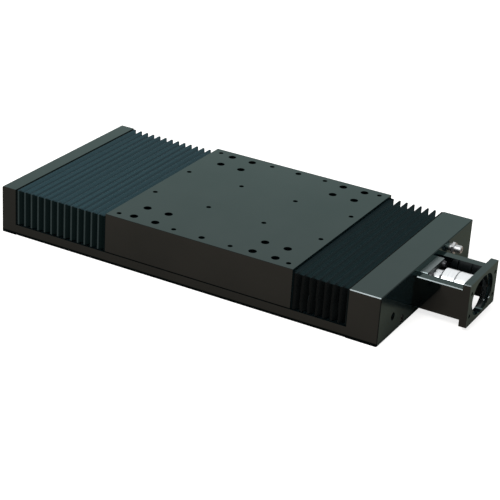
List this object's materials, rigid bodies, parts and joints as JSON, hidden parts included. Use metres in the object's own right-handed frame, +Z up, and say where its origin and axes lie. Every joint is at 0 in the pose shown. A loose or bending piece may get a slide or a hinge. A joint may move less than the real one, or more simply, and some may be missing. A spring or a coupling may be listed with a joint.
{
  "type": "ball screw linear module",
  "caption": "Flat linear module: a drilled table driven by a ball screw on two covered rails, folded bellows on both sides, end plates and an open coupling housing with a motor flange.",
  "frame": {"origin": "middle of the underside of the base", "axes": "+X along the travel towards the motor end, +Y across, +Z up"},
  "size_m": [0.51, 0.23, 0.056],
  "materials": {
    "black_anodised": "satin black anodising, machined edges broken",
    "bellows_cloth": "coated polyester cloth, folded, blue black",
    "ground_steel": "ground",
    "bearing_steel": "polished",
    "black_oxide_steel": "black oxide",
    "bright_alloy": "turned, bright",
    "green_plastic": "moulded",
    "black_rubber": "moulded"
  },
  "bodies": {
    "base": {"base_plate": "black_anodised", "rail_near": "ground_steel", "rail_far": "ground_steel", "rail_screws": "black_oxide_steel", "rail_hole_caps": "black_rubber", "idle_end_plate": "black_anodised", "idle_end_screws": "black_oxide_steel", "idle_bearing_outer_ring": "bearing_steel", "idle_bearing_cap": "bearing_steel", "idle_cap_screws": "black_oxide_steel", "motor_end_block": "black_anodised", "motor_end_screws": "black_oxide_steel", "thrust_bearing_outer_rings": "bearing_steel", "bearing_retainer": "bearing_steel", "retainer_screws": "black_oxide_steel", "screw_seal": "black_rubber", "motor_bracket": "black_anodised", "bracket_screws": "black_oxide_steel", "lubrication_fitting": "bright_alloy", "bellows_frame_idle_fixed": "black_anodised", "bellows_frame_motor_fixed": "black_anodised", "fixed_frame_screws": "black_oxide_steel", "bellows_idle": "bellows_cloth", "bellows_motor": "bellows_cloth"},
    "screw": {"ball_screw": "ground_steel", "idle_bearing_inner_ring": "bearing_steel", "idle_bearing_balls": "bearing_steel", "idle_circlip": "black_oxide_steel", "thrust_bearing_inner_rings": "bearing_steel", "thrust_bearing_balls": "bearing_steel", "bearing_spacer": "bearing_steel", "lock_nut": "bright_alloy", "lock_collar": "black_oxide_steel", "coupling_hub_screw": "bright_alloy", "coupling_disc": "ground_steel", "coupling_hub_motor": "bright_alloy", "coupling_disc_screws": "black_oxide_steel", "coupling_clamp_screws": "black_oxide_steel"},
    "carriage": {"table": "black_anodised", "table_screws": "black_oxide_steel", "guide_block_near_idle": "ground_steel", "guide_block_near_motor": "ground_steel", "guide_block_far_idle": "ground_steel", "guide_block_far_motor": "ground_steel", "guide_end_caps": "green_plastic", "guide_seals": "black_rubber", "grease_nipples": "ground_steel", "nut_bracket": "black_anodised", "nut_bracket_screws": "black_oxide_steel", "ball_nut": "ground_steel", "nut_screws": "black_oxide_steel", "nut_wipers": "black_rubber", "bellows_frame_idle_moving": "black_anodised", "bellows_frame_motor_moving": "black_anodised", "moving_frame_screws": "black_oxide_steel"}
  },
  "joints": [
    {"name": "carriage_slide", "type": "slide", "parent": "base", "child": "carriage", "axis": [1, 0, 0], "range_m": [-0.07, 0.04], "deforming": ["bellows_idle", "bellows_motor"]},
    {"name": "screw_spin", "type": "hinge", "parent": "base", "child": "screw", "pos_m": [0, 0, 0.029], "axis": [1, 0, 0], "range_deg": [-1450, 2530]}
  ],
  "couplings": [
    {"joint": "screw_spin", "follows": "carriage_slide", "rad_per_m": -628.32}
  ]
}
